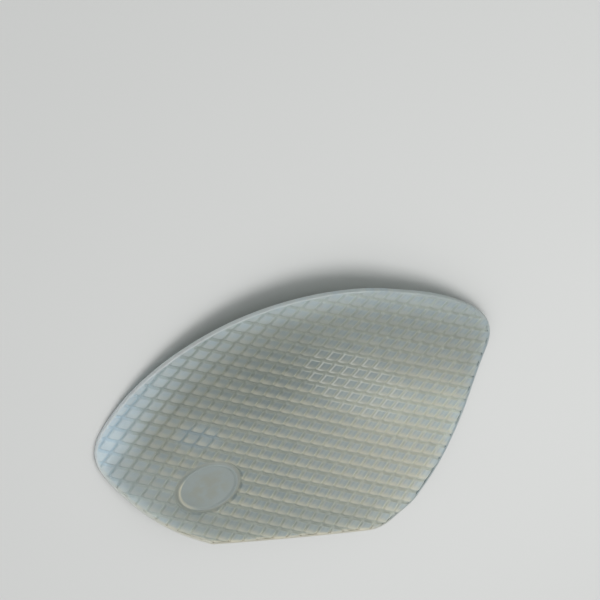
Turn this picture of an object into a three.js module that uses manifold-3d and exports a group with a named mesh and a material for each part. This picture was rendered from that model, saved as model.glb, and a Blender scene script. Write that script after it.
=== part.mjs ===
// Clear moulded tank pad, one piece. A thin sheet carries a grid of raised square studs. The grooves
// between them stop at a smooth rim that follows the outline, and a plain raised ring stands in a
// round clearing. The pad is laid out flat and then bent to the saddle of the tank's side.
// Millimetres. X runs along the stud rows, Z points out of the studded face.

import * as THREE from 'three';
import Module from 'manifold-3d';
import { mergeVertices } from 'three/addons/utils/BufferGeometryUtils.js';

// Sheet and studs
const SHEET_THICKNESS = 1.2;
const STUD_HEIGHT = 0.9;
const STUD_PITCH = 8.3;
const GROOVE_WIDTH = 1.7;
const GRID_START_X = 1.8;
const GRID_START_Y = 0.1;

// Rim round the outline: its width, how far it lies below the stud tops, and its edge chamfer
const RIM_WIDTH = 1.4;
const RIM_DROP = 0.15;
const RIM_CHAMFER = 0.6;

// Outline: its length and width, and the radii of its bowed sides and rounded corners
const PAD_LENGTH = 216;
const PAD_WIDTH = 196;
const BOTTOM_BOW = 143;
const BOTTOM_CORNER = 7;
const RIGHT_LOWER_CORNER = 18;
const RIGHT_MIDDLE_CORNER = 19;
const RIGHT_LOWER_BOW = 107;
const RIGHT_UPPER_BOW = 177;
const TIP_LOWER_CORNER = 42;
const TIP_UPPER_CORNER = 36;
const TOP_BOW = 139;
const SHOULDER_BOW = 95;
const LEFT_BOW = 147;
const LEFT_CORNER = 37;
const LEFT_LOWER_BOW = 127;

// Corners anticlockwise from the lower left, as shares of the length and the width
const OUTLINE_CORNERS = [
  { along: -0.153, up: -0.47, radius: BOTTOM_BOW },
  { along: 0.009, up: -0.481, radius: BOTTOM_CORNER },
  { along: 0.462, up: -0.315, radius: RIGHT_LOWER_CORNER },
  { along: 0.51, up: -0.199, radius: RIGHT_MIDDLE_CORNER },
  { along: 0.516, up: -0.061, radius: RIGHT_LOWER_BOW },
  { along: 0.476, up: 0.121, radius: RIGHT_UPPER_BOW },
  { along: 0.342, up: 0.448, radius: TIP_LOWER_CORNER },
  { along: 0.242, up: 0.489, radius: TIP_UPPER_CORNER },
  { along: 0.11, up: 0.524, radius: TOP_BOW },
  { along: -0.313, up: 0.472, radius: SHOULDER_BOW },
  { along: -0.498, up: 0.023, radius: LEFT_BOW },
  { along: -0.462, up: -0.281, radius: LEFT_CORNER },
  { along: -0.356, up: -0.365, radius: LEFT_LOWER_BOW },
];

// Round clearing in the studs, and the plain ring that stands in it
const CLEARING_X = -22.3;
const CLEARING_Y = -58.5;
const CLEARING_RADIUS = 18.4;
const CLEARING_SINK = 0.2;
const RING_RADIUS = 16.1;
const RING_WIDTH = 2.6;
const RING_HEIGHT = 0.8;

// Saddle that the pad is bent to: hollow across the pad, slightly crowned along it
const HOLLOW_RADIUS = 507;
const CROWN_RADIUS = 1743;
const HOLLOW_DIRECTION = THREE.MathUtils.degToRad(-64.8);

// Fineness of the outline and the ring, and how many studs one face of the back spans each way
const OUTLINE_STEP = 8;
const CORNER_STEP = THREE.MathUtils.degToRad(18);
const RING_SIDES = 32;
const BACK_SPAN = 2;

// Room that cutting solids keep beyond the pad, and the depth that joined solids sink into it
const CUT_MARGIN = 30;
const JOIN_DEPTH = 0.8;

const STUD_TOP = SHEET_THICKNESS + STUD_HEIGHT;

const wasm = await Module();
wasm.setup();

// Bends a point of the flat pad to the saddle. The groove floor keeps its length.
function bend(point) {
  const height = point.z - SHEET_THICKNESS;
  const cos = Math.cos(HOLLOW_DIRECTION);
  const sin = Math.sin(HOLLOW_DIRECTION);
  const across = cos * point.x + sin * point.y;
  const along = cos * point.y - sin * point.x;
  const hollowAngle = across / HOLLOW_RADIUS;
  const crownAngle = along / CROWN_RADIUS;
  const bentAcross = (HOLLOW_RADIUS - height) * Math.sin(hollowAngle);
  const lift = HOLLOW_RADIUS - (HOLLOW_RADIUS - height) * Math.cos(hollowAngle);
  const bentAlong = (CROWN_RADIUS + lift) * Math.sin(crownAngle);
  return new THREE.Vector3(
    cos * bentAcross - sin * bentAlong,
    sin * bentAcross + cos * bentAlong,
    (CROWN_RADIUS + lift) * Math.cos(crownAngle) - CROWN_RADIUS,
  );
}

// Bends a list of flat points and triangles and makes it a solid.
function bentSolid(points, triangles) {
  const geometry = new THREE.BufferGeometry().setFromPoints(points.map(bend));
  geometry.setIndex(triangles.flat());
  const merged = mergeVertices(geometry, 1e-5);
  return new wasm.Manifold(new wasm.Mesh({
    numProp: 3,
    vertProperties: merged.attributes.position.array,
    triVerts: new Uint32Array(merged.index.array),
  }));
}

// Joins loops of equal length, one after the other. A ring closes on itself, and any other skin is
// closed by a fan at each end. The loops run anticlockwise seen from above, the first one lowest.
function skin(loops, isRing) {
  const count = loops[0].length;
  const points = loops.flat();
  const triangles = [];
  const bands = isRing ? loops.length : loops.length - 1;
  for (let band = 0; band < bands; band += 1) {
    const low = band * count;
    const high = ((band + 1) % loops.length) * count;
    for (let i = 0; i < count; i += 1) {
      const next = (i + 1) % count;
      triangles.push([low + i, low + next, high + next], [low + i, high + next, high + i]);
    }
  }
  if (!isRing) {
    for (const [loop, start, turn] of [[loops[0], 0, -1], [loops.at(-1), bands * count, 1]]) {
      const middle = loop.reduce((sum, point) => sum.add(point), new THREE.Vector3());
      points.push(middle.divideScalar(count));
      for (let i = 0; i < count; i += 1) {
        const pair = [start + i, start + ((i + 1) % count)];
        triangles.push([points.length - 1, ...(turn > 0 ? pair : pair.reverse())]);
      }
    }
  }
  return bentSolid(points, triangles);
}

// Arcs that round the outline's corners. A radius is kept to what the sides next to it have room for.
function outlineArcs() {
  const places = OUTLINE_CORNERS.map(({ along, up }) =>
    new THREE.Vector2(along * PAD_LENGTH, up * PAD_WIDTH));
  const sides = places.map((place, i) => places[(i + 1) % places.length].clone().sub(place));
  const turns = sides.map((side, i) => Math.abs(sides.at(i - 1).angleTo(side)));
  const reaches = turns.map((turn, i) => OUTLINE_CORNERS[i].radius * Math.tan(turn / 2));
  const rooms = sides.map((side, i) =>
    side.length() / (reaches[i] + reaches[(i + 1) % reaches.length]));
  return places.map((place, i) => {
    const radius = OUTLINE_CORNERS[i].radius * Math.min(1, rooms.at(i - 1), rooms[i]);
    const inward = [sides.at(i - 1), sides[i]].map((side) =>
      new THREE.Vector2(-side.y, side.x).normalize());
    const centre = inward[0].clone().add(inward[1])
      .multiplyScalar(radius / (1 + inward[0].dot(inward[1]))).add(place);
    const start = inward[0].negate().angle();
    const steps = Math.ceil(Math.max(turns[i] / CORNER_STEP, (turns[i] * radius) / OUTLINE_STEP));
    return { centre, radius, start, turn: turns[i], steps };
  });
}

function arcPoint(arc, share, inset) {
  const angle = arc.start + arc.turn * share;
  return new THREE.Vector2(Math.cos(angle), Math.sin(angle))
    .multiplyScalar(arc.radius - inset).add(arc.centre);
}

// Closed outline at an inset and a height. Every inset has the same number of points.
function outlineLoop(inset, z) {
  const points = [];
  outlineArcs().forEach((arc, i, arcs) => {
    const next = arcs[(i + 1) % arcs.length];
    for (let k = 0; k <= arc.steps; k += 1) {
      points.push(arcPoint(arc, k / arc.steps, inset));
    }
    const length = arcPoint(arc, 1, 0).distanceTo(arcPoint(next, 0, 0));
    const steps = Math.ceil(length / OUTLINE_STEP);
    for (let k = 1; k < steps; k += 1) {
      points.push(arcPoint(arc, 1, inset).lerp(arcPoint(next, 0, inset), k / steps));
    }
  });
  return points.map((point) => new THREE.Vector3(point.x, point.y, z));
}

function circleLoop(radius, z) {
  return Array.from({ length: RING_SIDES }, (_, i) => {
    const angle = (2 * Math.PI * i) / RING_SIDES;
    return new THREE.Vector3(
      CLEARING_X + radius * Math.cos(angle),
      CLEARING_Y + radius * Math.sin(angle),
      z,
    );
  });
}

// Groove lines across the stud grid in one direction, from one side of the outline to the other.
function grooveLines(start, low, high) {
  const first = Math.floor((low - start) / STUD_PITCH);
  const count = Math.ceil((high - start) / STUD_PITCH) - first + 1;
  return Array.from({ length: count }, (_, i) => start + (first + i) * STUD_PITCH);
}

// Rectangular studded sheet that covers the whole outline. Each cell between four groove lines is
// the foot of one stud.
function studdedSheet() {
  const box = new THREE.Box2().setFromPoints(outlineLoop(-RIM_WIDTH, 0));
  const columns = grooveLines(GRID_START_X, box.min.x, box.max.x);
  const rows = grooveLines(GRID_START_Y, box.min.y, box.max.y);
  const points = [];
  const triangles = [];
  const layGrid = (xs, ys, z) => ys.map((y) => xs.map((x) =>
    points.push(new THREE.Vector3(x, y, z)) - 1));

  const front = layGrid(columns, rows, SHEET_THICKNESS);
  for (let r = 0; r < rows.length - 1; r += 1) {
    for (let c = 0; c < columns.length - 1; c += 1) {
      const foot = [front[r][c], front[r][c + 1], front[r + 1][c + 1], front[r + 1][c]];
      triangles.push(...stud(points, foot));
    }
  }
  const coarse = (line, i, lines) => i % BACK_SPAN === 0 || i === lines.length - 1;
  const back = layGrid(columns.filter(coarse), rows.filter(coarse), 0);
  for (let r = 0; r < back.length - 1; r += 1) {
    for (let c = 0; c < back[r].length - 1; c += 1) {
      triangles.push(...quad([back[r][c], back[r + 1][c], back[r + 1][c + 1], back[r][c + 1]]));
    }
  }
  const backRuns = borderRuns(back);
  borderRuns(front).forEach((run, side) => triangles.push(...zip(points, backRuns[side], run)));
  return bentSolid(points, triangles);
}

function quad([a, b, c, d]) {
  return [[a, b, c], [a, c, d]];
}

// Square stud with sloped sides on the four corners of its foot.
function stud(points, foot) {
  const centre = points[foot[0]].clone().lerp(points[foot[2]], 0.5);
  const top = foot.map((index) => {
    const inward = centre.clone().sub(points[index]);
    const corner = points[index].clone();
    corner.x += Math.sign(inward.x) * (GROOVE_WIDTH / 2);
    corner.y += Math.sign(inward.y) * (GROOVE_WIDTH / 2);
    corner.z = STUD_TOP;
    return points.push(corner) - 1;
  });
  const sides = foot.flatMap((index, i) => {
    const next = (i + 1) % foot.length;
    return quad([index, foot[next], top[next], top[i]]);
  });
  return [...sides, ...quad(top)];
}

// The four border lines of a grid, anticlockwise seen from above.
function borderRuns(grid) {
  const last = grid.length - 1;
  const end = grid[0].length - 1;
  return [
    grid[0].slice(),
    grid.map((row) => row[end]),
    grid[last].slice().reverse(),
    grid.map((row) => row[0]).reverse(),
  ];
}

// Fills the strip between a low and a high run of points that start and end together.
function zip(points, low, high) {
  const triangles = [];
  const far = (index) => points[index].distanceTo(points[low[0]]);
  let i = 0;
  let k = 0;
  while (i < low.length - 1 || k < high.length - 1) {
    const lowNext = i < low.length - 1 ? far(low[i + 1]) : Infinity;
    const highNext = k < high.length - 1 ? far(high[k + 1]) : Infinity;
    if (lowNext < highNext) {
      triangles.push([low[i], low[i + 1], high[k]]);
      i += 1;
    } else {
      triangles.push([low[i], high[k + 1], high[k]]);
      k += 1;
    }
  }
  return triangles;
}

// Rim that fills the groove ends. It reaches past the outline, and the envelope trims it.
function rimBand() {
  const low = SHEET_THICKNESS - JOIN_DEPTH;
  const high = STUD_TOP - RIM_DROP;
  const outside = -RIM_WIDTH;
  return skin([
    outlineLoop(RIM_WIDTH, low),
    outlineLoop(outside, low),
    outlineLoop(outside, high),
    outlineLoop(RIM_WIDTH, high),
  ], true);
}

// Everything inside the pad's side wall and under its edge chamfer.
function envelope() {
  const chamferFoot = STUD_TOP - RIM_CHAMFER;
  const lead = 2 * RIM_CHAMFER;
  return skin([
    outlineLoop(0, -CUT_MARGIN),
    outlineLoop(0, chamferFoot),
    outlineLoop(lead, chamferFoot + lead),
    outlineLoop(lead, CUT_MARGIN),
  ], false);
}

function clearingCut() {
  const floor = SHEET_THICKNESS - CLEARING_SINK;
  return skin([
    circleLoop(CLEARING_RADIUS / 2, floor),
    circleLoop(CLEARING_RADIUS, floor),
    circleLoop(CLEARING_RADIUS, CUT_MARGIN),
  ], false);
}

// Plain ring with a rounded top.
function plainRing() {
  const half = RING_WIDTH / 2;
  const foot = SHEET_THICKNESS - JOIN_DEPTH;
  const top = SHEET_THICKNESS - CLEARING_SINK + RING_HEIGHT;
  const shoulder = top - half / 2;
  return skin([
    circleLoop(RING_RADIUS - half, foot),
    circleLoop(RING_RADIUS + half, foot),
    circleLoop(RING_RADIUS + half, shoulder),
    circleLoop(RING_RADIUS + half / 2, top),
    circleLoop(RING_RADIUS - half / 2, top),
    circleLoop(RING_RADIUS - half, shoulder),
  ], true);
}

function padGeometry() {
  const solid = studdedSheet()
    .add(rimBand())
    .subtract(clearingCut())
    .add(plainRing())
    .intersect(envelope());
  const mesh = solid.getMesh();
  const geometry = new THREE.BufferGeometry();
  geometry.setAttribute('position', new THREE.BufferAttribute(mesh.vertProperties, 3));
  geometry.setIndex(new THREE.BufferAttribute(mesh.triVerts, 1));
  geometry.computeBoundingBox();
  return geometry;
}

const clearPolyurethane = new THREE.MeshStandardMaterial({
  color: 0xb9c4c4,
  roughness: 0.35,
  metalness: 0,
  transparent: true,
  opacity: 0.6,
});

const pad = new THREE.Mesh(padGeometry(), clearPolyurethane);
pad.name = 'tank_pad';

// The origin is the middle of the pad's footprint, on the surface that it lies on.
const { min, max } = pad.geometry.boundingBox;
pad.position.set(-(min.x + max.x) / 2, -(min.y + max.y) / 2, -min.z);

const tankPad = new THREE.Group();
tankPad.add(pad);

export default tankPad;
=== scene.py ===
"""Clear moulded tank pad with square studs: its mesh, its finish with painted light and shade, and
a plain studio.

Metres. X runs along the stud rows, and Z points out of the studded face. The pad is modelled flat,
and its points are then bent to the saddle that it has on a tank.
"""

import math

import bmesh
import bpy
import numpy as np
from bpy.props import FloatProperty, FloatVectorProperty, IntProperty, PointerProperty
from mathutils import Matrix, Vector


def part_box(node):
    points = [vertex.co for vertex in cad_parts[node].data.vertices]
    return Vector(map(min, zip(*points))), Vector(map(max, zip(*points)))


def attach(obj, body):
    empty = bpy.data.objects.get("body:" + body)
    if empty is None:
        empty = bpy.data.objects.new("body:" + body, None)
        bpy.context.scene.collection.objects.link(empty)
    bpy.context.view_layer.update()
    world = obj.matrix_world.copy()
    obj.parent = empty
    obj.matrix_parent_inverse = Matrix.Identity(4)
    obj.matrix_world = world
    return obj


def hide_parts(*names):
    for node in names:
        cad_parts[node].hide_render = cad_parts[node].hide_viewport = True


bl_info = {
    "name": "Studded Tank Pad",
    "version": (1, 0, 0),
    "blender": (4, 5, 0),
    "location": "3D View > Sidebar > Tank Pad",
    "description": "Models a clear studded tank pad with its finish and a plain studio",
    "category": "Add Mesh",
}

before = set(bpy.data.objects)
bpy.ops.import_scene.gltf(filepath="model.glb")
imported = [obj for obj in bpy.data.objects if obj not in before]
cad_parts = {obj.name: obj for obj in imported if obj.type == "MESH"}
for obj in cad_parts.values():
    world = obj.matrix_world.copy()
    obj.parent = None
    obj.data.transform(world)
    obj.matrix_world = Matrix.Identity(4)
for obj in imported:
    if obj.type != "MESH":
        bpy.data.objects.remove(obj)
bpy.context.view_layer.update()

MM = 0.001
PAD_NODE = "tank_pad"
BODY = "root"

# Flat outline: corners anticlockwise from the lower left, as shares of the pad's length and width,
# with the radius in millimetres that rounds each of them
OUTLINE_CORNERS = (
    (-0.153, -0.47, 143),
    (0.009, -0.481, 7),
    (0.462, -0.315, 18),
    (0.51, -0.199, 19),
    (0.516, -0.061, 107),
    (0.476, 0.121, 177),
    (0.342, 0.448, 42),
    (0.242, 0.489, 36),
    (0.11, 0.524, 139),
    (-0.313, 0.472, 95),
    (-0.498, 0.023, 147),
    (-0.462, -0.281, 37),
    (-0.356, -0.365, 127),
)

# Longest step along the outline, and largest turn of a step
OUTLINE_STEP = 2 * MM
CORNER_STEP = math.radians(6)

# Room that cutting solids keep beyond the pad, and the depth that joined solids sink into it
CUT_MARGIN = 10 * MM
JOIN_DEPTH = 0.8 * MM

# Cut along the rim: its depth below the rim's top, which the envelope also stands above it, and how
# far its inner wall leans for its height
TRENCH_DEPTH = 0.1 * MM
TRENCH_SLOPE = 0.5

# Upward share of a face's normal: more for a top, more for a slope that faces up, less unless level
TOP_FACE = 0.5
SLOPED_FACE = 0.1
LEVEL_FACE = 0.999

# Step to which heights are rounded before they are compared
HEIGHT_STEP = 0.001 * MM

# Round clearing: its middle, how far its wall leans for its height, and the rings of points in its
# floor as shares of its radius, so that the floor can bend
CLEARING_X = -22.3 * MM
CLEARING_Y = -58.5 * MM
CLEARING_SLOPE = 1.0
FLOOR_RINGS = (0.1, 0.3, 0.5, 0.7, 0.85)

# Plain ring: points round it and across it, and the depth that its rounded top starts in the floor
RING_SIDES = 96
RING_STEPS = 13
RING_SINK = 0.03 * MM

# Fineness of the rim's rounded edge, and how far round it goes, in degrees
RIM_STEPS = 4
LAST_RIM_TURN = 85

# Patches of tone on the flat stud grid, counted in studs: middle, half axes and turn
# The next three patches are painted shade and then painted light over the body
PAINTED_SHADE_PATCH = ((-5.1, 2.7), (7.4, 7.7), -0.69)
PAINTED_LIGHT_PATCH = ((11.1, -0.3), (15.3, 10.5), -0.43)
PALE_PAINTED_LIGHT_PATCH = ((16.0, 2.7), (18.8, 4.0), 0.0)
WET_PATCH = ((-6.1, -3.3), (2.6, 1.7), 0.0)
GLARE_PATCH = ((2.0, 3.6), (8.2, 3.1), -0.3)
# Where painted highlights lie on the clearing's ring
CRESCENT_PATCH = ((-4.3, -8.5), (2.1, 2.1), 0.0)

# How those patches come up, from their border to their middle
GLARE_RISE = (0.1, 0.45)
WET_RISE = (0.1, 0.6)
CRESCENT_RISE = (0, 0.5)

# Sides of the outline: the way that each faces in the flat, in degrees, and how sharply a tone
# keeps to it
# The next three sides shape the painted edge glow
PALEST_SIDE = (206, 6)
PALE_SIDE = (137, 2)
PLAIN_SIDE = (280, 2)
# The next four sides shape the painted rim highlight, shade, tan highlight and dark rim shade
RIM_LINE_SIDE = (191, 3)
SHADED_SIDE = (265, 9)
TAN_SIDE = (280, 8)
DARK_SIDE = (8, 9)

# Ramps and bands inwards from the outline, counted in studs
# The next three reaches shape the painted edge glow
PALEST_REACH = (4.2, 0)
PALE_REACH = (3, 0)
NARROW_REACH = (1.3, 0.1)
GROOVE_REACH = (0.12, 0.3)
# Reaches of the painted rim highlight, shade, tan highlight and dark rim shade
RIM_LINE_REACH = (0.14, 0.05)
SHADE_REACH = (0.1, 1, 1.5, 3.3)
TAN_REACH = (-0.05, 0.05, 0.2, 0.36)
DARK_REACH = (-0.05, 0.04, 0.16, 0.32)

# Columns and rows of studs along which a tone comes up
# The next four ramps spread painted light along the studs' low edges
WARM_COLUMNS = (-17, -3)
WARM_ROWS = (9, 2)
CREAM_COLUMNS = (-9, 0)
CREAM_ROWS = (9, 3)
STREAK_COLUMNS = (-9, -1)
# Columns over which the painted groove shade fades
FAINT_COLUMNS = (-12, -5)

# Bands across and up one cell of the stud grid, which starts in the middle of a groove: where each
# starts, is full, begins to fade and ends
STUD_MIDDLE = ((0.15, 0.4, 0.65, 0.9), (0.35, 0.55, 0.75, 0.95))
# The next three bands hold painted light along the studs' low edges
WARM_ACROSS = (1.15, 0.2)
WARM_UP = (0.09, 0.21, 0.31, 0.62)
CREAM_UP = (0.13, 0.2, 0.24, 0.34)
LEFT_STREAK_ACROSS = (0.2, 0.28, 0.34, 0.44)
RIGHT_STREAK_ACROSS = (0.6, 0.7, 0.78, 0.92)
STREAK_UP = (0.32, 0.45, 0.8, 0.95)
LEFT_GLINT = ((0.07, 0.12, 0.16, 0.23), (0.12, 0.2, 0.8, 0.95))
LOW_GLINT = ((0.05, 0.15, 0.35, 0.8), (0.1, 0.16, 0.2, 0.29))
HIGH_GLINT = ((0.1, 0.2, 0.8, 0.95), (0.8, 0.85, 0.88, 0.93))

# Shift to cells that start in the middle of a stud, and the bands across a groove there for its
# painted shade
HALF_CELL = (0.5, 0.5, 0)
ROW_GROOVE = (0.29, 0.4, 0.53, 0.63)
CROSS_GROOVE = (0.3, 0.39, 0.52, 0.63)

# Paleness of the outer studs from the painted edge glow, at which their grooves take the glow's
# painted tint
BORDER_GROOVES = (0.3, 0.9)

# Bands outwards from the clearing's middle, as shares of its radius
HAZE_FADE = (0.95, 0.3)
OUTSIDE_RING = (0.86, 0.97)
# The next two bands hold the painted highlights on the ring
CRESCENT_BAND = (0.79, 0.84, 0.88, 0.94)
GLEAM_BAND = (0.81, 0.85, 0.86, 0.9)
CLEARING_EDGE = (1.03, 0.98)

# Strength of the tones, most of them painted light, painted highlights and painted shade
# The next three are strengths of the painted edge glow
PALEST_STRENGTH = 1.15
PALE_STRENGTH = 0.47
NARROW_STRENGTH = 0.3
# The next three are strengths of painted light along the studs' low edges
WARM_STRENGTH = 0.5
WARM_LOSS_IN_GLARE = 0.7
CREAM_STRENGTH = 0.3
HIGH_GLINT_STRENGTH = 0.8
GLINT_STRENGTH = 0.6
WET_STRENGTH = 0.14
WET_GROOVE_STRENGTH = 0.7
# Strength of the painted highlight on the ring
CRESCENT_STRENGTH = 0.75
# Strengths of the painted shade, tan highlight and dark rim shade
SHADE_STRENGTH = 0.5
TAN_STRENGTH = 0.75
DARK_STRENGTH = 0.6

# Noises: scale and detail, and the levels between which the mottle and the haze come up
MOTTLE_NOISE = (130, 3)
MOTTLE_SPOTS = (0.35, 0.7)
HAZE_NOISE = (180, 2)
HAZE_SPOTS = (0.3, 0.65)
GLOSS_NOISE = (60, 2)
GRAIN_NOISE = (700, 3)

# Refractive index of the moulding, and how far its roughness varies either way
REFRACTION = 1.49
GLOSS_SPREAD = 0.2

# Spacing of shader nodes in the editor
NODE_COLUMNS = 14
NODE_WIDTH = 200
NODE_DROP = 300

# Gap at which doubled points merge, and angle up to which an edge is shaded smooth
MERGE_GAP = 0.002 * MM
SMOOTH_ANGLE = math.radians(40)

# Floor and key light
FLOOR_SIZE = 6
FLOOR_ROUGHNESS = 0.8
KEY_SIZE = 0.8
KEY_AZIMUTH = math.radians(15)
KEY_ELEVATION = math.radians(72)
KEY_DISTANCE = 0.85

# Point that the camera looks at, and where it stands from there
VIEW_POINT = (-58.51 * MM, 71.81 * MM, 8.03 * MM)
VIEW_DISTANCE = 1.0235
VIEW_AZIMUTH = math.radians(143.99)
VIEW_ELEVATION = math.radians(40.0)
VIEW_ROLL = math.radians(152.64)
VIEW_LENS = 124.81
SENSOR_WIDTH = 36


def length(name, description, millimetres):
    """Property for a length, given in millimetres and kept in metres."""
    return FloatProperty(
        name=name,
        description=description,
        default=millimetres * MM,
        min=0,
        subtype="DISTANCE",
        unit="LENGTH",
        precision=5,
    )


def position(name, description, millimetres):
    """Property for a place, which may lie below zero."""
    return FloatProperty(
        name=name,
        description=description,
        default=millimetres * MM,
        subtype="DISTANCE",
        unit="LENGTH",
        precision=5,
    )


def colour(name, description, value):
    """Property for a colour, given as scene-linear red, green and blue."""
    return FloatVectorProperty(
        name=name,
        description=description,
        default=value,
        size=3,
        min=0,
        max=2,
        subtype="COLOR",
    )


def share(name, description, value):
    """Property for a share from 0 to 1."""
    return FloatProperty(
        name=name, description=description, default=value, min=0, max=1, subtype="FACTOR"
    )


class TankPadShape(bpy.types.PropertyGroup):
    """Sizes of the moulding."""

    pad_length: length("Length", "Along the stud rows, before bending", 216)
    pad_width: length("Width", "Across the stud rows, before bending", 196)
    sheet_thickness: length("Sheet", "Thickness under the grooves", 1.2)
    stud_height: length("Stud height", "Height of the studs above the grooves", 0.9)
    stud_pitch: length("Stud pitch", "Distance from stud to stud", 8.3)
    groove_width: length("Groove width", "Width of a groove at the stud tops", 2.0)
    stud_corner: length("Stud corner", "Bevel on the upright corners of a stud", 1.3)
    stud_edge: length("Stud edge", "Rounding of a stud's top edge", 0.3)
    groove_round: length("Groove rounding", "Rounding of the groove's bottom", 0.3)
    grid_x: position("Grid X", "Place of one groove that crosses the rows", 1.8)
    grid_y: position("Grid Y", "Place of one groove along the rows", 0.1)
    rim_width: length("Rim width", "Smooth band along the outline", 1.4)
    rim_drop: length("Rim drop", "How far the rim lies below the stud tops", 0.15)
    rim_round: length("Rim rounding", "Radius of the rim's outer edge", 0.6)
    clearing_radius: length("Clearing radius", "Round place without studs", 18.4)
    clearing_sink: length("Clearing depth", "Depth below the groove bottoms", 0.2)
    ring_radius: length("Ring radius", "Middle line of the plain ring", 16.1)
    ring_width: length("Ring width", "Width of the plain ring", 3.2)
    ring_height: length("Ring height", "Height of the ring above the clearing", 0.8)
    hollow_radius: length("Hollow radius", "Radius of the hollow across the pad", 507)
    crown_radius: length("Crown radius", "Radius of the crown along the pad", 1743)
    hollow_turn: FloatProperty(
        name="Hollow direction",
        description="Direction across the hollow, from X",
        default=math.radians(-64.8),
        subtype="ANGLE",
        unit="ROTATION",
    )
    round_steps: IntProperty(
        name="Rounding steps",
        description="Faces across each rounded edge",
        default=2,
        min=1,
        max=6,
    )


class TankPadFinish(bpy.types.PropertyGroup):
    """Colours, painted light and shade, and clearness of the moulding. A tint multiplies the colour
    below it.
    """

    body: colour("Body", "Colour of the clear moulding", (0.422, 0.458, 0.412))
    # Painted shade over one part of the body, and inside the tan rim
    painted_shade: colour("Shadowed", "Colour of the shadowed part", (0.292, 0.33, 0.295))
    mottle: colour("Mottle", "Tint of the fine uneven spots", (0.90, 0.92, 0.94))
    # Painted light towards the short side
    light: colour("Light", "Colour towards the short side", (0.628, 0.642, 0.566))
    # Paler painted light in a band in from the short side
    pale: colour("Pale", "Colour of the band in from the short side", (0.695, 0.736, 0.662))
    core: colour("Stud middles", "Tint of the middle of a stud", (0.90, 0.97, 1.05))
    # Painted light along the studs' low edges, and on the ring's crescent
    warm_light: colour("Warm edges", "Colour along the low edge of a stud", (0.72, 0.70, 0.56))
    # Painted light: a line along each row's low edge, and the gleam on the ring
    cream_light: colour("Cream line", "Colour of the line along a row's low edge", (0.86, 0.83, 0.67))
    streak: colour("Streaks", "Tint of the two streaks down each stud", (0.84, 0.88, 0.93))
    glint: colour("Glint", "Colour of the bright edges in the glare", (0.86, 0.89, 0.84))
    # The next four tints are painted shade in the grooves; the faint cross one is painted light
    # instead
    cross_groove_shade: colour("Cross grooves", "Tint of the grooves across the rows", (0.76, 0.78, 0.73))
    faint_cross: colour(
        "Faint cross grooves", "The same towards the short side", (1.17, 1.17, 1.13)
    )
    row_groove_shade: colour("Row grooves", "Tint of the grooves along the rows", (0.62, 0.64, 0.58))
    faint_row: colour("Faint row grooves", "The same towards the short side", (0.96, 0.96, 0.90))
    # Painted edge glow in the grooves of the outer studs
    glow_groove: colour(
        "Border grooves", "Tint of the grooves in the pale border", (0.76, 0.84, 0.90)
    )
    clearing: colour("Clearing", "Colour of the round clearing", (0.435, 0.50, 0.49))
    haze: colour(
        "Clearing haze",
        "Warmer colour in the clearing's middle and outside its ring",
        (0.42, 0.452, 0.40),
    )
    # Painted edge glow: the bluish-white light that the outer studs give off
    border: colour("Border", "Colour that the outer studs take", (0.84, 0.96, 1.0))
    # Painted highlight along the rim's lit edge
    rim_highlight: colour("Rim line", "Colour of the rim's lit edge", (0.97, 1.0, 1.0))
    # Painted highlight along the rim on the lower side
    tan_highlight: colour("Tan line", "Colour of the rim along the lower side", (0.76, 0.72, 0.58))
    # Painted shade of the side wall along the short side's rim; it also darkens the bluish patch's
    # grooves
    deep_blue: colour(
        "Dark blue", "Colour of wetted grooves and of the short side's rim", (0.26, 0.36, 0.41)
    )
    clearness: share("Clearness", "Share of light that passes through", 0.5)
    gloss: share("Roughness", "Roughness of the moulded skin", 0.34)
    grain: length("Grain", "Depth of the fine unevenness of the skin", 0.02)


class TankPadStudio(bpy.types.PropertyGroup):
    """Floor and lights."""

    floor: colour("Floor", "Colour of the floor", (0.62, 0.63, 0.62))
    sky: FloatProperty(
        name="Surrounding light",
        description="Level of the light from all around",
        default=0.62,
    )
    key_power: FloatProperty(
        name="Key power",
        description="Power of the key light",
        default=4.2,
        unit="POWER",
    )


# Outline


def outline_arcs(shape):
    """Centre, radius, start angle, turn and steps of the arc at each corner of the outline."""
    places = [
        np.array([along * shape.pad_length, up * shape.pad_width])
        for along, up, _ in OUTLINE_CORNERS
    ]
    radii = [radius * MM for _, _, radius in OUTLINE_CORNERS]
    count = len(places)
    sides = [places[(i + 1) % count] - places[i] for i in range(count)]
    headings = [math.atan2(side[1], side[0]) for side in sides]
    turns = [(headings[i] - headings[i - 1]) % (2 * math.pi) for i in range(count)]
    reaches = [radii[i] * math.tan(turns[i] / 2) for i in range(count)]
    rooms = [
        np.linalg.norm(sides[i]) / (reaches[i] + reaches[(i + 1) % count])
        for i in range(count)
    ]
    arcs = []
    for i in range(count):
        radius = radii[i] * min(1, rooms[i - 1], rooms[i])
        inward = [
            np.array([-math.sin(heading), math.cos(heading)])
            for heading in (headings[i - 1], headings[i])
        ]
        centre = places[i] + (inward[0] + inward[1]) * radius / (1 + inward[0] @ inward[1])
        start = headings[i - 1] - math.pi / 2
        steps = math.ceil(max(turns[i] / CORNER_STEP, turns[i] * radius / OUTLINE_STEP))
        arcs.append((centre, radius, start, turns[i], steps))
    return arcs


def arc_point(arc, part, inset):
    """Point a share of the way along an arc, moved in by the inset."""
    centre, radius, start, turn, _ = arc
    angle = start + turn * part
    return centre + (radius - inset) * np.array([math.cos(angle), math.sin(angle)])


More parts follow.
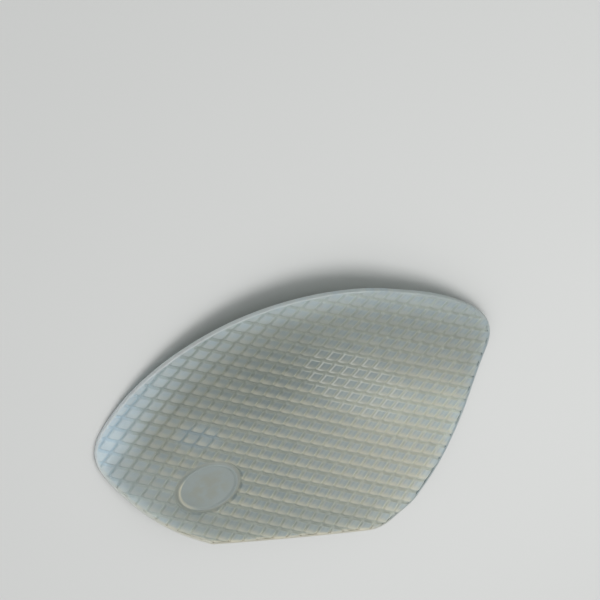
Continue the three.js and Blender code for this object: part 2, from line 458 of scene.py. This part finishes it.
def outline_loop(shape, inset):
    """Closed outline at an inset. Every inset has the same number of points."""
    arcs = outline_arcs(shape)
    points = []
    for i, arc in enumerate(arcs):
        following = arcs[(i + 1) % len(arcs)]
        *_, steps = arc
        points += [arc_point(arc, k / steps, inset) for k in range(steps + 1)]
        gap = np.linalg.norm(arc_point(arc, 1, 0) - arc_point(following, 0, 0))
        count = math.ceil(gap / OUTLINE_STEP)
        first, last = arc_point(arc, 1, inset), arc_point(following, 0, inset)
        points += [first + (last - first) * k / count for k in range(1, count)]
    return np.array(points)


# Modelling helpers


def start_piece(name):
    """Names the primitive that was just added and opens it for editing."""
    piece = bpy.context.object
    piece.name = name
    piece.data.name = name
    bpy.ops.object.transform_apply(location=True, rotation=True, scale=True)
    bpy.ops.object.mode_set(mode="EDIT")
    bpy.ops.mesh.select_all(action="DESELECT")
    return piece


def pick_faces(piece, wanted):
    """Selects the faces that the test wants."""
    bpy.ops.mesh.select_mode(type="FACE")
    bpy.ops.mesh.select_all(action="DESELECT")
    mesh = bmesh.from_edit_mesh(piece.data)
    for face in mesh.faces:
        face.select_set(wanted(face))
    mesh.select_flush_mode()
    bmesh.update_edit_mesh(piece.data)


def pick_edges(piece, wanted):
    """Selects the edges that the test wants."""
    bpy.ops.mesh.select_mode(type="EDGE")
    bpy.ops.mesh.select_all(action="DESELECT")
    mesh = bmesh.from_edit_mesh(piece.data)
    for edge in mesh.edges:
        edge.select_set(wanted(edge))
    bmesh.update_edit_mesh(piece.data)


def raise_region(height):
    """Extrudes what is selected upwards."""
    bpy.ops.mesh.extrude_region_move(TRANSFORM_OT_translate={"value": (0, 0, height)})


def finish_editing():
    """Turns the faces outwards and leaves edit mode."""
    bpy.ops.mesh.select_all(action="SELECT")
    bpy.ops.mesh.normals_make_consistent(inside=False)
    bpy.ops.object.mode_set(mode="OBJECT")


def select_only(piece):
    """Makes a piece the active one, and the only one that is selected."""
    bpy.ops.object.select_all(action="DESELECT")
    bpy.context.view_layer.objects.active = piece
    piece.select_set(True)


def combine(piece, tool, operation):
    """Cuts or joins a solid with a tool solid, and removes the tool."""
    select_only(piece)
    modifier = piece.modifiers.new(tool.name, "BOOLEAN")
    modifier.operation = operation
    modifier.solver = "MANIFOLD"
    modifier.object = tool
    bpy.ops.object.modifier_apply(modifier=modifier.name)
    bpy.data.meshes.remove(tool.data)


def tidy_mesh(piece):
    """Merges what a cut left doubled, and turns every face outwards."""
    select_only(piece)
    bpy.ops.object.mode_set(mode="EDIT")
    bpy.ops.mesh.select_all(action="SELECT")
    bpy.ops.mesh.remove_doubles(threshold=MERGE_GAP)
    bpy.ops.mesh.normals_make_consistent(inside=False)
    bpy.ops.object.mode_set(mode="OBJECT")


def smooth_faces(piece):
    """Smooth shading that keeps edges sharper than the smoothing angle."""
    select_only(piece)
    bpy.ops.object.shade_smooth_by_angle(angle=SMOOTH_ANGLE)
    modifier = piece.modifiers.new("even_shading", "WEIGHTED_NORMAL")
    modifier.keep_sharp = True
    bpy.ops.object.modifier_apply(modifier=modifier.name)


# Solids, modelled flat


def groove_span(start, pitch, low, high):
    """First groove line and number of cells that cover the way from low to high."""
    first = math.floor((low - start) / pitch)
    last = math.ceil((high - start) / pitch)
    return start + first * pitch, last - first


def studded_sheet(shape):
    """Sheet of square studs that covers the whole outline: each cell of a grid is a stud's foot."""
    pitch = shape.stud_pitch
    reach = outline_loop(shape, -shape.rim_width)
    low, high = reach.min(axis=0), reach.max(axis=0)
    low_x, columns = groove_span(shape.grid_x, pitch, low[0], high[0])
    low_y, rows = groove_span(shape.grid_y, pitch, low[1], high[1])
    size = (columns * pitch, rows * pitch)

    bpy.ops.mesh.primitive_grid_add(x_subdivisions=columns, y_subdivisions=rows, size=1)
    sheet = start_piece("tank_pad_moulding")
    bpy.ops.mesh.select_all(action="SELECT")
    bpy.ops.transform.resize(value=(*size, 1))
    bpy.ops.transform.translate(value=(low_x + size[0] / 2, low_y + size[1] / 2, 0))
    raise_region(shape.sheet_thickness)
    bpy.ops.mesh.select_all(action="SELECT")
    bpy.ops.mesh.normals_make_consistent(inside=False)

    foot = shape.sheet_thickness
    top = foot + shape.stud_height
    pick_faces(sheet, lambda face: face.normal.z > TOP_FACE)
    bpy.ops.mesh.inset(
        thickness=shape.groove_width / 2, depth=shape.stud_height, use_individual=True
    )
    pick_edges(sheet, lambda edge: heights(edge) == {near(foot), near(top)})
    bpy.ops.mesh.bevel(offset=shape.stud_corner, segments=shape.round_steps + 1)
    pick_edges(sheet, lambda edge: heights(edge) == {near(top)})
    bpy.ops.mesh.bevel(offset=shape.stud_edge, segments=shape.round_steps)
    pick_edges(
        sheet,
        lambda edge: heights(edge) == {near(foot)}
        and all(face.normal.z > SLOPED_FACE for face in edge.link_faces)
        and any(face.normal.z < LEVEL_FACE for face in edge.link_faces),
    )
    bpy.ops.mesh.bevel(offset=shape.groove_round, segments=shape.round_steps)
    finish_editing()
    return sheet


def near(height):
    """A height as a whole number of steps, for comparing."""
    return round(height / HEIGHT_STEP)


def heights(edge):
    """Heights of an edge's two ends."""
    return {near(vertex.co.z) for vertex in edge.verts}


def lofted(name, loops, is_ring=False):
    """Solid through loops of equal length, each of them flat points and a height."""
    count = len(loops[0][0])
    bpy.ops.mesh.primitive_circle_add(vertices=count, radius=1, fill_type="NOTHING")
    piece = start_piece(name)
    bpy.ops.mesh.select_all(action="SELECT")
    for _ in loops[1:]:
        raise_region(1)
    bpy.ops.object.mode_set(mode="OBJECT")
    places = [(*point, height) for points, height in loops for point in points]
    piece.data.vertices.foreach_set("co", np.array(places, np.float32).ravel())
    bpy.ops.object.mode_set(mode="EDIT")
    if is_ring:
        pick_edges(piece, lambda edge: edge.is_boundary)
        bpy.ops.mesh.bridge_edge_loops()
    else:
        bpy.ops.mesh.select_all(action="SELECT")
        bpy.ops.mesh.fill_holes(sides=0)
    finish_editing()
    return piece


def circle_loop(radius):
    """Circle round the middle of the clearing."""
    angles = np.arange(RING_SIDES) * (2 * math.pi / RING_SIDES)
    circle = np.stack([np.cos(angles), np.sin(angles)], axis=1)
    return np.array([CLEARING_X, CLEARING_Y]) + radius * circle


def stud_top(shape):
    """Height of the studs' flat tops above the back."""
    return shape.sheet_thickness + shape.stud_height


def rim_trench(shape):
    """What is cut off the studs where the rim runs."""
    low = stud_top(shape) - shape.rim_drop - TRENCH_DEPTH
    high = low + CUT_MARGIN
    inner = shape.rim_width / 2
    outer = -2 * shape.rim_width
    return lofted(
        "rim_trench",
        [
            (outline_loop(shape, inner), low),
            (outline_loop(shape, inner + CUT_MARGIN * TRENCH_SLOPE), high),
            (outline_loop(shape, outer), high),
            (outline_loop(shape, outer), low),
        ],
        is_ring=True,
    )


def rim_band(shape):
    """Smooth rim that fills the groove ends. It reaches past the outline, and is trimmed later."""
    low = shape.sheet_thickness - JOIN_DEPTH
    high = stud_top(shape) - shape.rim_drop
    outer = -shape.rim_width
    return lofted(
        "rim_band",
        [
            (outline_loop(shape, shape.rim_width), low),
            (outline_loop(shape, outer), low),
            (outline_loop(shape, outer), high),
            (outline_loop(shape, shape.rim_width), high),
        ],
        is_ring=True,
    )


def envelope(shape):
    """Everything inside the side wall and under the rounded edge of the rim."""
    radius = shape.rim_round
    top = stud_top(shape) - shape.rim_drop
    turns = np.linspace(0, math.radians(LAST_RIM_TURN), RIM_STEPS + 1)
    edge = [
        (outline_loop(shape, radius * (1 - math.cos(turn))), top - radius * (1 - math.sin(turn)))
        for turn in turns
    ]
    return lofted(
        "envelope",
        [
            (outline_loop(shape, 0), -CUT_MARGIN),
            *edge,
            (outline_loop(shape, radius), top + TRENCH_DEPTH),
            (outline_loop(shape, radius), CUT_MARGIN),
        ],
    )


def clearing_cut(shape):
    """Solid that clears the studs off a round place."""
    floor = shape.sheet_thickness - shape.clearing_sink
    radius = shape.clearing_radius
    rings = [(circle_loop(radius * part), floor) for part in FLOOR_RINGS]
    return lofted(
        "clearing",
        [
            *rings,
            (circle_loop(radius), floor),
            (circle_loop(radius + CUT_MARGIN * CLEARING_SLOPE), floor + CUT_MARGIN),
        ],
    )


def plain_ring(shape):
    """Plain ring with a rounded top and a hollow sweep at its foot."""
    half = shape.ring_width / 2
    foot = shape.sheet_thickness - JOIN_DEPTH
    floor = shape.sheet_thickness - shape.clearing_sink - RING_SINK
    rise = (shape.ring_height + RING_SINK) / 2
    crown = [
        (
            circle_loop(shape.ring_radius + half * part),
            floor + rise * (1 + math.cos(math.pi * part)),
        )
        for part in np.linspace(1, -1, RING_STEPS)
    ]
    return lofted(
        "plain_ring",
        [
            (circle_loop(shape.ring_radius - half), foot),
            (circle_loop(shape.ring_radius + half), foot),
            *crown,
        ],
        is_ring=True,
    )


# Bending and placing


def reach_from_edge(shape, flat):
    """Distance of each flat point from the outline, and the way that the outline faces there."""
    loop = outline_loop(shape, 0)
    nearest = np.full(len(flat), np.inf)
    facing = np.zeros(len(flat))
    for start, end in zip(loop, np.roll(loop, -1, axis=0)):
        way = end - start
        part = np.clip((flat - start) @ way / (way @ way), 0, 1)
        gap = flat - (start + part[:, None] * way)
        distance = np.hypot(gap[:, 0], gap[:, 1])
        closer = distance < nearest
        nearest[closer] = distance[closer]
        facing[closer] = math.atan2(-way[0], way[1])
    return nearest, facing


def bend(shape, points):
    """Bends flat points to the saddle. The groove bottoms keep their length."""
    cos, sin = math.cos(shape.hollow_turn), math.sin(shape.hollow_turn)
    height = points[:, 2] - shape.sheet_thickness
    across = cos * points[:, 0] + sin * points[:, 1]
    along = cos * points[:, 1] - sin * points[:, 0]
    hollow = across / shape.hollow_radius
    crown = along / shape.crown_radius
    bent_across = (shape.hollow_radius - height) * np.sin(hollow)
    lift = shape.hollow_radius - (shape.hollow_radius - height) * np.cos(hollow)
    bent_along = (shape.crown_radius + lift) * np.sin(crown)
    return np.stack(
        [
            cos * bent_across - sin * bent_along,
            sin * bent_across + cos * bent_along,
            (shape.crown_radius + lift) * np.cos(crown) - shape.crown_radius,
        ],
        axis=1,
    )


def place_on_node(points, node):
    """Moves points over the middle of a node's footprint, and down to its lowest point."""
    low, high = (np.array(corner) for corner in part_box(node))
    own_low, own_high = points.min(axis=0), points.max(axis=0)
    shift = (low + high - own_low - own_high) / 2
    shift[2] = low[2] - own_low[2]
    return points + shift


def store(mesh, name, values):
    """Keeps a number or a vector for each point of a mesh."""
    if values.ndim == 1:
        attribute = mesh.attributes.new(name, "FLOAT", "POINT")
        attribute.data.foreach_set("value", values.astype(np.float32))
    else:
        attribute = mesh.attributes.new(name, "FLOAT_VECTOR", "POINT")
        attribute.data.foreach_set("vector", values.astype(np.float32).ravel())


def settle(piece, shape):
    """Notes where each point lies in the flat, lays out the flat map, and bends the pad."""
    mesh = piece.data
    flat = np.zeros(len(mesh.vertices) * 3, np.float32)
    mesh.vertices.foreach_get("co", flat)
    flat = flat.reshape(-1, 3).astype(float)
    reach, facing = reach_from_edge(shape, flat[:, :2])
    store(mesh, "reach", reach / shape.stud_pitch)
    store(mesh, "facing", np.stack([np.cos(facing), np.sin(facing), 0 * facing], axis=1))
    from_ring = np.hypot(flat[:, 0] - CLEARING_X, flat[:, 1] - CLEARING_Y)
    store(mesh, "from_ring", from_ring / shape.clearing_radius)

    corners = np.zeros(len(mesh.loops), np.int32)
    mesh.loops.foreach_get("vertex_index", corners)
    flat_map = flat[corners, :2] / shape.pad_length + 0.5
    layer = mesh.uv_layers.new(name="flat")
    layer.data.foreach_set("uv", flat_map.astype(np.float32).ravel())

    bent = place_on_node(bend(shape, flat), PAD_NODE)
    mesh.vertices.foreach_set("co", bent.astype(np.float32).ravel())
    mesh.update()


# Finish


def node(tree, kind, **settings):
    """New shader node with its settings, placed after the ones before it."""
    item = tree.nodes.new(kind)
    line, place = divmod(len(tree.nodes), NODE_COLUMNS)
    item.location = ((place - NODE_COLUMNS) * NODE_WIDTH, -line * NODE_DROP)
    for name, value in settings.items():
        setattr(item, name, value)
    return item


def connect(tree, value, socket):
    """Links a socket to another, or writes a plain value into it."""
    if isinstance(value, bpy.types.NodeSocket):
        tree.links.new(value, socket)
    else:
        socket.default_value = value


def colour_over(tree, base, share_of_it, top, blend="MIX"):
    """Lays a colour over another, each of them plain or a socket."""
    item = node(tree, "ShaderNodeMix", data_type="RGBA", blend_type=blend)
    sockets = {socket.identifier: socket for socket in (*item.inputs, *item.outputs)}
    connect(tree, share_of_it, sockets["Factor_Float"])
    for value, name in ((base, "A_Color"), (top, "B_Color")):
        is_plain = not isinstance(value, bpy.types.NodeSocket)
        connect(tree, (*value, 1) if is_plain else value, sockets[name])
    return sockets["Result_Color"]


def calculate(tree, operation, *values):
    """Maths node on sockets or numbers."""
    item = node(tree, "ShaderNodeMath", operation=operation)
    for socket, value in zip(item.inputs, values):
        connect(tree, value, socket)
    return item.outputs[0]


def product(tree, first, *others):
    """Product of two or more sockets or numbers. The first is a socket."""
    for value in others:
        first = calculate(tree, "MULTIPLY", first, value)
    return first


def strongest(tree, first, *others):
    """Highest of two or more sockets."""
    for value in others:
        first = calculate(tree, "MAXIMUM", first, value)
    return first


def ramp(tree, value, low, high):
    """Smooth rise from 0 at low to 1 at high, or the other way round where low is higher."""
    item = node(tree, "ShaderNodeMapRange", interpolation_type="SMOOTHSTEP")
    item.inputs["From Min"].default_value = low
    item.inputs["From Max"].default_value = high
    tree.links.new(value, item.inputs["Value"])
    return item.outputs["Result"]


def stripe(tree, value, start, full, fade, end):
    """Band along one direction, with soft sides."""
    return product(tree, ramp(tree, value, start, full), ramp(tree, value, end, fade))


def vector_maths(tree, operation, vector, *values):
    """Vector maths node on sockets or plain vectors."""
    item = node(tree, "ShaderNodeVectorMath", operation=operation)
    for socket, value in zip(item.inputs, (vector, *values)):
        connect(tree, value, socket)
    return item.outputs["Value" if operation in ("LENGTH", "DOT_PRODUCT") else "Vector"]


def attribute(tree, name, output="Fac"):
    """What the mesh keeps under a name for each of its points."""
    return node(tree, "ShaderNodeAttribute", attribute_name=name).outputs[output]


def split(tree, vector):
    """X and Y of a vector."""
    item = node(tree, "ShaderNodeSeparateXYZ")
    tree.links.new(vector, item.inputs[0])
    return item.outputs["X"], item.outputs["Y"]


def stud_grid(tree, shape):
    """Place on the flat stud grid, counted in studs."""
    flat = node(tree, "ShaderNodeUVMap", uv_map="flat").outputs["UV"]
    across = shape.pad_length / shape.stud_pitch
    start = (
        -across / 2 - shape.grid_x / shape.stud_pitch,
        -across / 2 - shape.grid_y / shape.stud_pitch,
        0,
    )
    return vector_maths(tree, "MULTIPLY_ADD", flat, (across, across, 0), start)


def patch(tree, cells, place):
    """Soft oval on the stud grid: 1 in its middle and 0 at its border."""
    (x, y), size, turn = place
    cos, sin = math.cos(turn), math.sin(turn)
    mapping = node(tree, "ShaderNodeMapping", vector_type="POINT")
    mapping.inputs["Rotation"].default_value = (0, 0, -turn)
    mapping.inputs["Location"].default_value = (-cos * x - sin * y, sin * x - cos * y, 0)
    tree.links.new(cells, mapping.inputs["Vector"])
    squeezed = vector_maths(tree, "DIVIDE", mapping.outputs[0], (*size, 1))
    return ramp(tree, vector_maths(tree, "LENGTH", squeezed), 1, 0)


def side(tree, facing, degrees, sharpness):
    """1 where the nearest part of the outline faces this way, and less the more it turns away."""
    angle = math.radians(degrees)
    likeness = vector_maths(tree, "DOT_PRODUCT", facing, (math.cos(angle), math.sin(angle), 0))
    likeness = calculate(tree, "MULTIPLY_ADD", likeness, 0.5, 0.5)
    return calculate(tree, "POWER", likeness, sharpness)


def noise(tree, scale, detail):
    """Even noise on the piece's own coordinates."""
    item = node(tree, "ShaderNodeTexNoise")
    item.inputs["Scale"].default_value = scale
    item.inputs["Detail"].default_value = detail
    tree.links.new(node(tree, "ShaderNodeTexCoord").outputs["Object"], item.inputs["Vector"])
    return item.outputs["Fac"]


def body_with_painted_light_and_shade(tree, finish, cells):
    """Clear body, with painted shade in one part and painted light towards the short side."""
    colours = colour_over(tree, finish.body, patch(tree, cells, PAINTED_SHADE_PATCH), finish.painted_shade)
    colours = colour_over(tree, colours, patch(tree, cells, PAINTED_LIGHT_PATCH), finish.light)
    return colour_over(tree, colours, patch(tree, cells, PALE_PAINTED_LIGHT_PATCH), finish.pale)


def painted_edge_glow(tree, reach, facing):
    """How strongly the outer studs take the painted edge glow: most on the two long rounded sides.
    """
    palest = product(
        tree, side(tree, facing, *PALEST_SIDE), ramp(tree, reach, *PALEST_REACH), PALEST_STRENGTH
    )
    pale = product(
        tree, side(tree, facing, *PALE_SIDE), ramp(tree, reach, *PALE_REACH), PALE_STRENGTH
    )
    elsewhere = calculate(tree, "SUBTRACT", 1.0, side(tree, facing, *PLAIN_SIDE))
    narrow = product(tree, ramp(tree, reach, *NARROW_REACH), elsewhere, NARROW_STRENGTH)
    glow = strongest(tree, palest, pale, narrow)
    return calculate(tree, "MINIMUM", glow, 1.0)


def stud_band(tree, cell, bands):
    """Soft rectangle in each cell, from a band across it and a band up it."""
    return product(tree, stripe(tree, cell[0], *bands[0]), stripe(tree, cell[1], *bands[1]))


def stud_tone(tree, finish, colours, cells, glow):
    """Bluer stud middles, painted yellowish light on low edges with a painted line, streaks, and
    painted glints.
    """
    column, row = split(tree, cells)
    cell = split(tree, vector_maths(tree, "FRACTION", cells))
    across, up = cell
    dull = calculate(tree, "SUBTRACT", 1.0, glow)
    glare = patch(tree, cells, GLARE_PATCH)

    middle = product(tree, stud_band(tree, cell, STUD_MIDDLE), dull)
    colours = colour_over(tree, colours, middle, finish.core, "MULTIPLY")
    # Painted light on the low edge of each stud
    warm_light = product(
        tree,
        stripe(tree, up, *WARM_UP),
        ramp(tree, across, *WARM_ACROSS),
        ramp(tree, column, *WARM_COLUMNS),
        ramp(tree, row, *WARM_ROWS),
        dull,
        calculate(tree, "MULTIPLY_ADD", glare, -WARM_LOSS_IN_GLARE, WARM_STRENGTH),
    )
    colours = colour_over(tree, colours, warm_light, finish.warm_light)
    # Painted line of light along each row's low edge
    line = product(
        tree,
        stripe(tree, up, *CREAM_UP),
        ramp(tree, column, *CREAM_COLUMNS),
        ramp(tree, row, *CREAM_ROWS),
        dull,
        CREAM_STRENGTH,
    )
    colours = colour_over(tree, colours, line, finish.cream_light)
    streaks = product(
        tree,
        strongest(
            tree,
            stripe(tree, across, *LEFT_STREAK_ACROSS),
            stripe(tree, across, *RIGHT_STREAK_ACROSS),
        ),
        stripe(tree, up, *STREAK_UP),
        ramp(tree, column, *STREAK_COLUMNS),
        dull,
    )
    colours = colour_over(tree, colours, streaks, finish.streak, "MULTIPLY")
    edges = strongest(
        tree,
        stud_band(tree, cell, LEFT_GLINT),
        stud_band(tree, cell, LOW_GLINT),
        product(tree, stud_band(tree, cell, HIGH_GLINT), HIGH_GLINT_STRENGTH),
    )
    glints = product(tree, edges, ramp(tree, glare, *GLARE_RISE), GLINT_STRENGTH)
    return colour_over(tree, colours, glints, finish.glint)


def groove_tone(tree, finish, colours, cells, reach, glow):
    """Painted olive shade in grooves, fainter towards the short side, bluer in the edge glow and
    where wetted.
    """
    column, _ = split(tree, cells)
    moved = vector_maths(tree, "FRACTION", vector_maths(tree, "ADD", cells, HALF_CELL))
    across, up = split(tree, moved)
    inside = ramp(tree, reach, *GROOVE_REACH)
    along = product(tree, stripe(tree, up, *ROW_GROOVE), inside)
    crossing = product(tree, stripe(tree, across, *CROSS_GROOVE), inside)
    grooves = strongest(tree, along, crossing)
    # Painted shade in the grooves, lifted to painted light in the cross grooves towards the short
    # side
    faint = ramp(tree, column, *FAINT_COLUMNS)
    cross_tint = colour_over(tree, finish.cross_groove_shade, faint, finish.faint_cross)
    row_tint = colour_over(tree, finish.row_groove_shade, faint, finish.faint_row)
    tints = colour_over(tree, cross_tint, along, row_tint)
    tints = colour_over(tree, tints, ramp(tree, glow, *BORDER_GROOVES), finish.glow_groove)
    colours = colour_over(tree, colours, grooves, tints, "MULTIPLY")
    wet = ramp(tree, patch(tree, cells, WET_PATCH), *WET_RISE)
    colours = colour_over(tree, colours, product(tree, wet, WET_STRENGTH), finish.border)
    wet_grooves = product(tree, wet, grooves, WET_GROOVE_STRENGTH)
    return colour_over(tree, colours, wet_grooves, finish.deep_blue)


def clearing_tone(tree, finish, colours, cells, from_ring):
    """Hazy round clearing with a yellowish painted crescent highlight and a thin painted gleam on
    its ring.
    """
    spots = ramp(tree, noise(tree, *HAZE_NOISE), *HAZE_SPOTS)
    middle = product(tree, spots, ramp(tree, from_ring, *HAZE_FADE))
    haze = strongest(tree, middle, ramp(tree, from_ring, *OUTSIDE_RING))
    clearing = colour_over(tree, finish.clearing, haze, finish.haze)
    # Painted highlights on one side of the ring
    lit = product(
        tree, ramp(tree, patch(tree, cells, CRESCENT_PATCH), *CRESCENT_RISE), CRESCENT_STRENGTH
    )
    crescent = product(tree, stripe(tree, from_ring, *CRESCENT_BAND), lit)
    clearing = colour_over(tree, clearing, crescent, finish.warm_light)
    gleam = product(tree, stripe(tree, from_ring, *GLEAM_BAND), lit)
    clearing = colour_over(tree, clearing, gleam, finish.cream_light)
    return colour_over(tree, colours, ramp(tree, from_ring, *CLEARING_EDGE), clearing)


def rim_tone(tree, finish, colours, reach, facing):
    """Painted pale and tan highlight rims and a dark shade rim on three sides, and a shade inside
    the tan one.
    """
    # Painted highlight along the rim's lit edge
    pale = product(tree, ramp(tree, reach, *RIM_LINE_REACH), side(tree, facing, *RIM_LINE_SIDE))
    colours = colour_over(tree, colours, pale, finish.rim_highlight)
    # Painted shade inside the tan rim, painted tan highlight, and painted dark shade on the short
    # side's rim
    for band, way, strength, tone in (
        (SHADE_REACH, SHADED_SIDE, SHADE_STRENGTH, finish.painted_shade),
        (TAN_REACH, TAN_SIDE, TAN_STRENGTH, finish.tan_highlight),
        (DARK_REACH, DARK_SIDE, DARK_STRENGTH, finish.deep_blue),
    ):
        share_of_it = product(tree, stripe(tree, reach, *band), side(tree, facing, *way), strength)
        colours = colour_over(tree, colours, share_of_it, tone)
    return colours


def pad_material(finish, shape):
    """Clear, slightly milky polyurethane, with its tones and painted light and shade in the flat
    stud grid.
    """
    material = bpy.data.materials.new("clear_polyurethane")
    material.use_nodes = True
    tree = material.node_tree
    shader = tree.nodes["Principled BSDF"]
    shader.inputs["Transmission Weight"].default_value = finish.clearness
    shader.inputs["IOR"].default_value = REFRACTION

    cells = stud_grid(tree, shape)
    reach = attribute(tree, "reach")
    facing = attribute(tree, "facing", "Vector")
    from_ring = attribute(tree, "from_ring")
    glow = painted_edge_glow(tree, reach, facing)
    colours = body_with_painted_light_and_shade(tree, finish, cells)
    # Painted edge glow over the outer studs
    colours = colour_over(tree, colours, glow, finish.border)
    mottle = ramp(tree, noise(tree, *MOTTLE_NOISE), *MOTTLE_SPOTS)
    colours = colour_over(tree, colours, mottle, finish.mottle, "MULTIPLY")
    colours = stud_tone(tree, finish, colours, cells, glow)
    colours = groove_tone(tree, finish, colours, cells, reach, glow)
    colours = clearing_tone(tree, finish, colours, cells, from_ring)
    colours = rim_tone(tree, finish, colours, reach, facing)
    tree.links.new(colours, shader.inputs["Base Color"])

    rough = node(tree, "ShaderNodeMapRange")
    rough.inputs["To Min"].default_value = finish.gloss * (1 - GLOSS_SPREAD)
    rough.inputs["To Max"].default_value = finish.gloss * (1 + GLOSS_SPREAD)
    tree.links.new(noise(tree, *GLOSS_NOISE), rough.inputs["Value"])
    tree.links.new(rough.outputs["Result"], shader.inputs["Roughness"])
    uneven = node(tree, "ShaderNodeBump")
    uneven.inputs["Distance"].default_value = finish.grain
    tree.links.new(noise(tree, *GRAIN_NOISE), uneven.inputs["Height"])
    tree.links.new(uneven.outputs["Normal"], shader.inputs["Normal"])
    return material


class TANKPAD_OT_pad(bpy.types.Operator):
    """Models the clear studded pad, in place of the plain solid"""

    bl_idname = "tankpad.pad"
    bl_label = "Studded Pad"

    def execute(self, context):
        shape = context.scene.tank_pad_shape
        bpy.ops.object.select_all(action="DESELECT")
        pad = studded_sheet(shape)
        combine(pad, rim_trench(shape), "DIFFERENCE")
        combine(pad, rim_band(shape), "UNION")
        combine(pad, clearing_cut(shape), "DIFFERENCE")
        combine(pad, plain_ring(shape), "UNION")
        combine(pad, envelope(shape), "INTERSECT")
        if not pad.data.polygons:
            raise RuntimeError("the pad came out empty")
        tidy_mesh(pad)
        settle(pad, shape)
        smooth_faces(pad)
        pad.data.materials.clear()
        pad.data.materials.append(pad_material(context.scene.tank_pad_finish, shape))
        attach(pad, BODY)
        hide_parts(PAD_NODE)
        return {"FINISHED"}


# Studio


def direction(azimuth, elevation):
    """Unit vector that points a way round from X and a way up from level."""
    level = math.cos(elevation)
    return Vector((level * math.cos(azimuth), level * math.sin(azimuth), math.sin(elevation)))


def add_key_light(power):
    """Soft square light that faces the pad."""
    away = direction(KEY_AZIMUTH, KEY_ELEVATION)
    lamp = bpy.data.lights.new("key_lamp", "AREA")
    lamp.size = KEY_SIZE
    lamp.energy = power
    holder = bpy.data.objects.new("key_lamp", lamp)
    bpy.context.scene.collection.objects.link(holder)
    holder.location = away * KEY_DISTANCE
    holder.rotation_euler = away.to_track_quat("Z", "Y").to_euler()


def add_camera():
    """Camera at the photograph's angle."""
    back = direction(VIEW_AZIMUTH, VIEW_ELEVATION)
    level = Vector((-math.sin(VIEW_AZIMUTH), math.cos(VIEW_AZIMUTH), 0))
    rise = back.cross(level)
    right = level * math.cos(VIEW_ROLL) + rise * math.sin(VIEW_ROLL)
    up = back.cross(right)
    camera = bpy.data.cameras.new("camera")
    camera.lens = VIEW_LENS
    camera.sensor_width = SENSOR_WIDTH
    holder = bpy.data.objects.new("camera", camera)
    bpy.context.scene.collection.objects.link(holder)
    turn = Matrix((right, up, back)).transposed().to_4x4()
    holder.matrix_world = Matrix.Translation(Vector(VIEW_POINT) + back * VIEW_DISTANCE) @ turn
    bpy.context.scene.camera = holder


class TANKPAD_OT_stage(bpy.types.Operator):
    """Adds the pale floor, the soft lights and the camera"""

    bl_idname = "tankpad.stage"
    bl_label = "Studio"

    def execute(self, context):
        studio = context.scene.tank_pad_studio
        bpy.ops.object.select_all(action="DESELECT")
        bpy.ops.mesh.primitive_plane_add(size=FLOOR_SIZE)
        floor = context.object
        floor.name = "floor"
        material = bpy.data.materials.new("floor")
        material.use_nodes = True
        shader = material.node_tree.nodes["Principled BSDF"]
        shader.inputs["Base Color"].default_value = (*studio.floor, 1)
        shader.inputs["Roughness"].default_value = FLOOR_ROUGHNESS
        floor.data.materials.append(material)

        world = bpy.data.worlds.new("studio")
        world.use_nodes = True
        background = world.node_tree.nodes["Background"]
        background.inputs["Strength"].default_value = studio.sky
        background.inputs["Color"].default_value = (1, 1, 1, 1)
        context.scene.world = world
        add_key_light(studio.key_power)
        add_camera()
        context.scene.view_settings.view_transform = "Standard"
        return {"FINISHED"}


class TANKPAD_PT_panel(bpy.types.Panel):
    """Sidebar panel with the pad's sizes, finish and studio."""

    bl_label = "Tank Pad"
    bl_idname = "TANKPAD_PT_panel"
    bl_space_type = "VIEW_3D"
    bl_region_type = "UI"
    bl_category = "Tank Pad"

    def draw(self, context):
        for group, operator in (
            (context.scene.tank_pad_shape, TANKPAD_OT_pad),
            (context.scene.tank_pad_finish, None),
            (context.scene.tank_pad_studio, TANKPAD_OT_stage),
        ):
            box = self.layout.box()
            for name in group.__annotations__:
                box.prop(group, name)
            if operator is not None:
                box.operator(operator.bl_idname)


CLASSES = (
    TankPadShape,
    TankPadFinish,
    TankPadStudio,
    TANKPAD_OT_pad,
    TANKPAD_OT_stage,
    TANKPAD_PT_panel,
)


def register():
    for item in CLASSES:
        bpy.utils.register_class(item)
    bpy.types.Scene.tank_pad_shape = PointerProperty(type=TankPadShape)
    bpy.types.Scene.tank_pad_finish = PointerProperty(type=TankPadFinish)
    bpy.types.Scene.tank_pad_studio = PointerProperty(type=TankPadStudio)


def unregister():
    del bpy.types.Scene.tank_pad_studio
    del bpy.types.Scene.tank_pad_finish
    del bpy.types.Scene.tank_pad_shape
    for item in reversed(CLASSES):
        bpy.utils.unregister_class(item)


def main():
    register()
    bpy.ops.tankpad.pad()
    bpy.ops.tankpad.stage()


if __name__ == "__main__":
    main()
